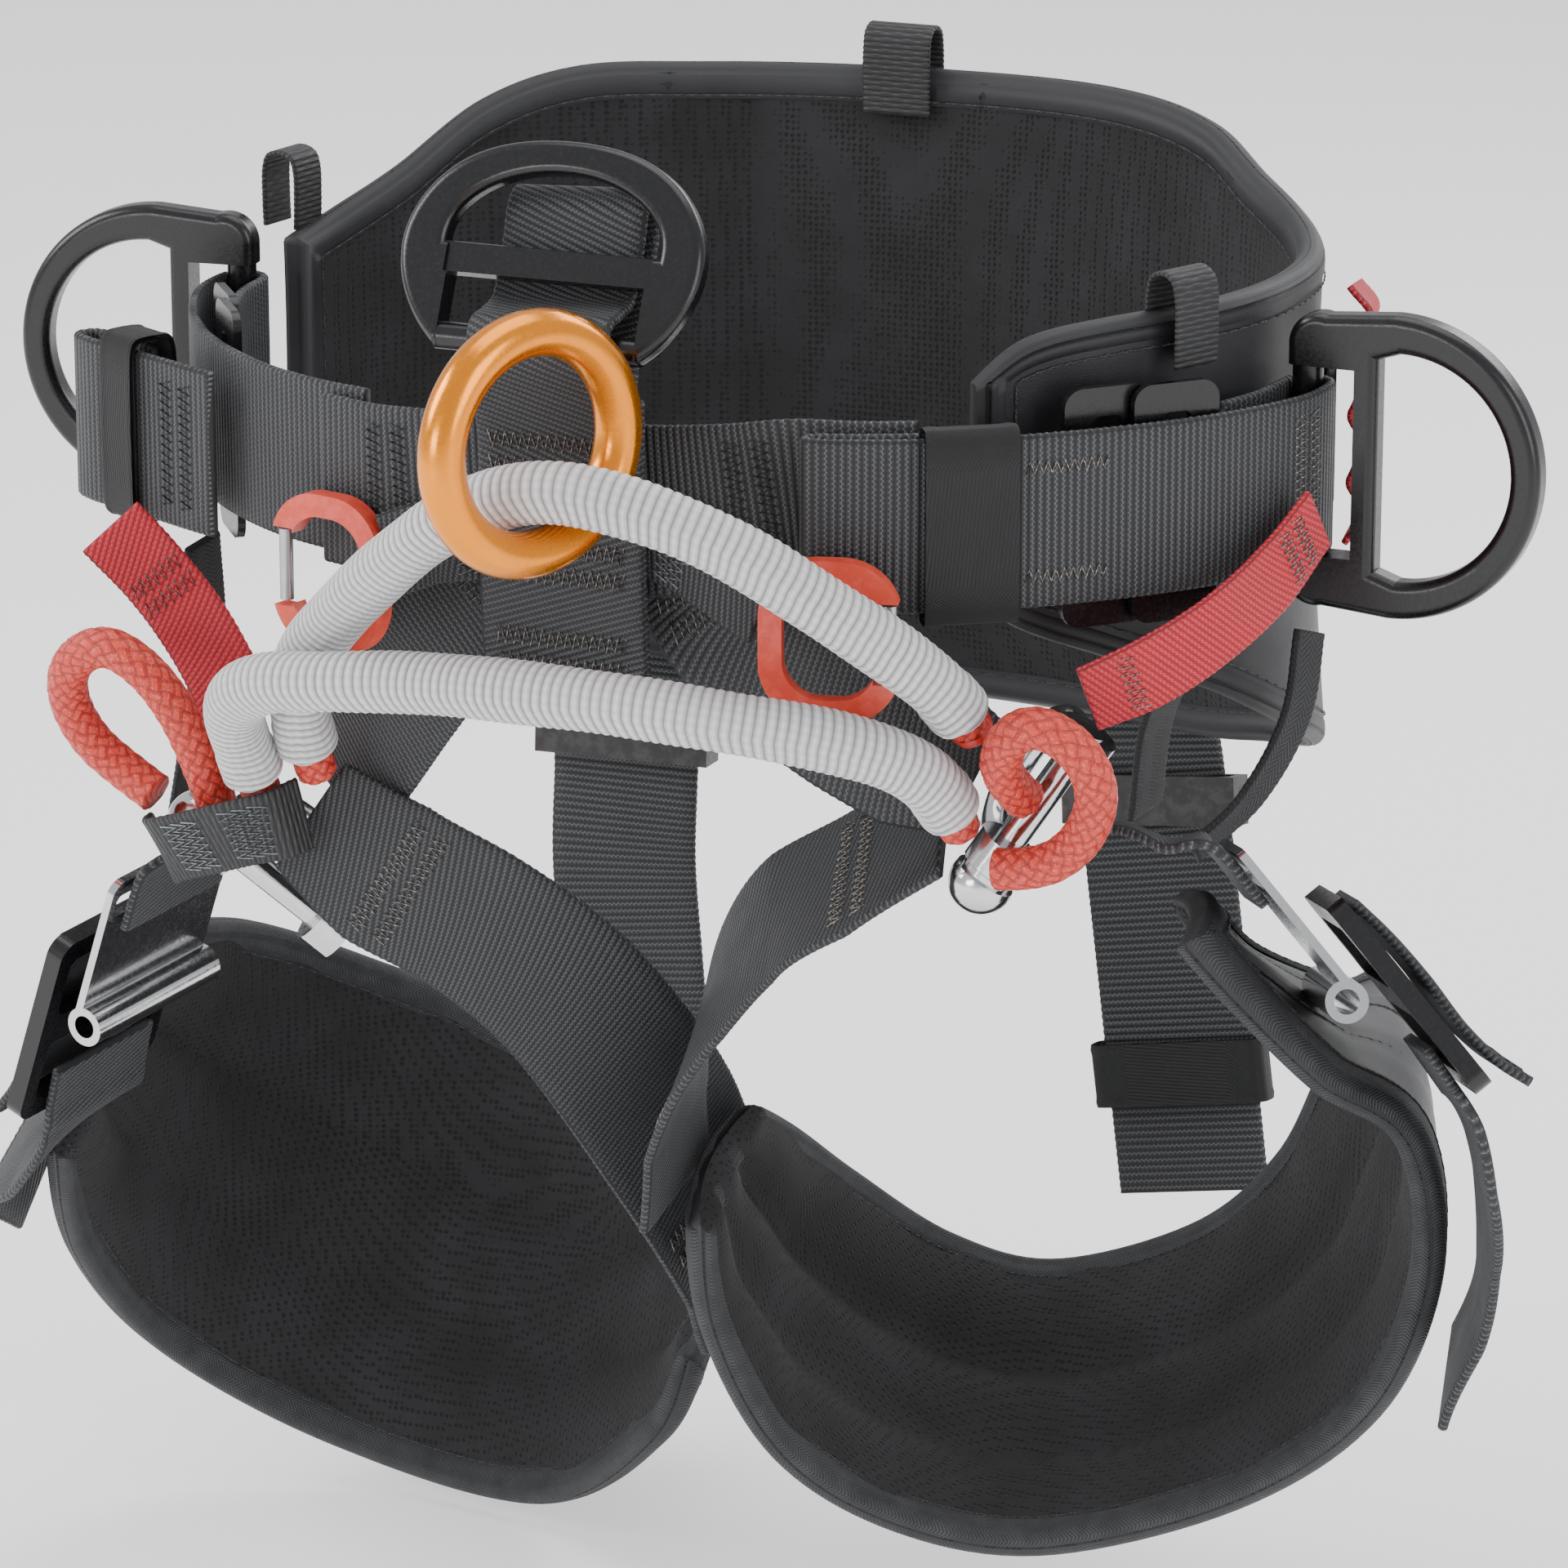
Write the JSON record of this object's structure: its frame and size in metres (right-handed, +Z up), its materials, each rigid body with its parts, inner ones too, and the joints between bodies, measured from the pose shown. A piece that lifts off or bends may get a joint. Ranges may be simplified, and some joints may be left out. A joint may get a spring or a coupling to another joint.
{
  "type": "tree climbing saddle",
  "caption": "Padded waist belt and two padded leg loops joined by webbing, with side and front attachment rings and a rope bridge, worn by a tree climber.",
  "frame": {"origin": "middle of the waist opening at the height of the front belt webbing", "axes": "+Z up along the wearer's spine, the wearer faces -Y, +X to the right of someone who looks at the front"},
  "size_m": [0.4596, 0.3194, 0.4337],
  "materials": {
    "pad_fabric": "matte",
    "dark_webbing": "satin",
    "dark_elastic": "matte",
    "dark_tape": "satin",
    "red_webbing": "satin",
    "red_rope": "satin",
    "pale_sleeve": "satin",
    "black_metal": "gloss",
    "black_alloy": "satin",
    "orange_alloy": "gloss",
    "bright_steel": "polished",
    "gate_metal": "satin",
    "coral_plastic": "satin",
    "black_plastic": "matte"
  },
  "bodies": {
    "root": {"back_pad": "pad_fabric", "belt_buckle_frame_left": "black_metal", "belt_buckle_frame_right": "black_metal", "belt_buckle_plate_left": "black_metal", "belt_buckle_plate_right": "black_metal", "belt_keeper_right": "dark_elastic", "belt_tail_left": "dark_webbing", "belt_web_back": "dark_webbing", "belt_web_left": "dark_webbing", "belt_web_right": "dark_webbing", "bridge_rope_lower": "red_rope", "bridge_rope_upper": "red_rope", "bridge_sleeve_lower": "pale_sleeve", "bridge_sleeve_upper": "pale_sleeve", "crotch_web_left": "dark_webbing", "crotch_web_right": "dark_webbing", "gear_clip_left": "coral_plastic", "gear_clip_right": "coral_plastic", "gear_daisy_right": "red_webbing", "gear_tape_left": "dark_tape", "gear_tape_right": "dark_tape", "leg_buckle_plate_left": "bright_steel", "leg_buckle_plate_right": "bright_steel", "leg_pad_left": "pad_fabric", "leg_pad_right": "pad_fabric", "leg_pad_strap_left": "dark_webbing", "leg_pad_strap_right": "dark_webbing", "leg_web_left": "dark_webbing", "leg_web_right": "dark_webbing", "link_bow_left": "bright_steel", "link_bow_right": "bright_steel", "rear_web_left": "dark_webbing", "rear_web_right": "dark_webbing", "red_tab_left": "red_webbing", "red_web_right": "red_webbing", "riser_web_left": "dark_webbing", "riser_web_right": "dark_webbing", "rope_eye_left": "red_rope", "rope_eye_right": "red_rope", "rope_tape_left": "dark_tape", "side_elastic_left": "dark_elastic", "side_elastic_right": "dark_elastic", "ventral_ring_loop": "dark_webbing", "ventral_web": "dark_webbing", "yoke_web": "dark_webbing"},
    "side_dring_left": {"side_dring_left": "black_alloy"},
    "side_dring_right": {"side_dring_right": "black_alloy"},
    "front_dring": {"front_dring": "black_alloy"},
    "bridge_ring": {"bridge_ring": "orange_alloy"},
    "clip_gate_left": {"clip_gate_left": "gate_metal"},
    "clip_gate_right": {"clip_gate_right": "gate_metal"},
    "leg_frame_left": {"leg_buckle_frame_left": "black_metal", "leg_tail_left": "dark_webbing"},
    "leg_frame_right": {"leg_buckle_frame_right": "black_metal", "leg_tail_right": "dark_webbing"},
    "link_bolt_left": {"link_bolt_left": "bright_steel"},
    "link_bolt_right": {"link_bolt_right": "bright_steel"},
    "rear_slider_left": {"rear_slider_left": "black_plastic"},
    "rear_slider_right": {"rear_slider_right": "black_plastic"},
    "rear_keeper_right": {"rear_keeper_right": "dark_elastic"}
  },
  "joints": [
    {"name": "side_dring_left_swing", "type": "hinge", "parent": "root", "child": "side_dring_left", "pos_m": [-0.153, -0.004, -0.002], "axis": [0, 0, 1], "range_deg": [-45, 20]},
    {"name": "side_dring_right_swing", "type": "hinge", "parent": "root", "child": "side_dring_right", "pos_m": [0.1585, -0.02, 0.002], "axis": [0, 0, 1], "range_deg": [-20, 45]},
    {"name": "front_dring_tilt", "type": "hinge", "parent": "root", "child": "front_dring", "pos_m": [-0.007, -0.133, 0.042], "axis": [1, 0, 0], "range_deg": [0, 12]},
    {"name": "bridge_ring_swing", "type": "hinge", "parent": "root", "child": "bridge_ring", "pos_m": [0.0065, -0.167, 0.013], "axis": [1, 0, 0], "range_deg": [0, 60]},
    {"name": "clip_gate_left_open", "type": "hinge", "parent": "root", "child": "clip_gate_left", "pos_m": [-0.08755, -0.11416, -0.0353], "axis": [0.243, 0.97, 0], "range_deg": [0, 25], "stiffness_Nm_per_rad": 0.02},
    {"name": "clip_gate_right_open", "type": "hinge", "parent": "root", "child": "clip_gate_right", "pos_m": [0.08456, -0.1254, -0.0353], "axis": [0.2402, -0.9707, 0], "range_deg": [0, 25], "stiffness_Nm_per_rad": 0.02},
    {"name": "leg_frame_left_tilt", "type": "hinge", "parent": "root", "child": "leg_frame_left", "pos_m": [-0.14794, -0.08332, -0.163], "axis": [0.2106, 0.9743, 0.0805], "range_deg": [0, 12]},
    {"name": "leg_frame_right_tilt", "type": "hinge", "parent": "root", "child": "leg_frame_right", "pos_m": [0.18893, -0.08157, -0.12075], "axis": [0.4018, -0.8834, 0.2412], "range_deg": [0, 12]},
    {"name": "link_bolt_left_turn", "type": "hinge", "parent": "root", "child": "link_bolt_left", "pos_m": [-0.10183, -0.09472, -0.12217], "axis": [0.6597, 0.3599, -0.6597], "continuous": true},
    {"name": "link_bolt_right_turn", "type": "hinge", "parent": "root", "child": "link_bolt_right", "pos_m": [0.11548, -0.09969, -0.07282], "axis": [0.5426, 0.1005, 0.834], "continuous": true},
    {"name": "rear_slider_left_slide", "type": "slide", "parent": "root", "child": "rear_slider_left", "axis": [0, -0.0649, -0.9979], "range_m": [-0.004, 0.004]},
    {"name": "rear_slider_right_slide", "type": "slide", "parent": "root", "child": "rear_slider_right", "axis": [0.1701, -0.178, -0.9692], "range_m": [-0.005, 0.005]},
    {"name": "rear_keeper_right_slide", "type": "slide", "parent": "root", "child": "rear_keeper_right", "axis": [0.1665, -0.1127, -0.9796], "range_m": [-0.01, 0.01]}
  ]
}
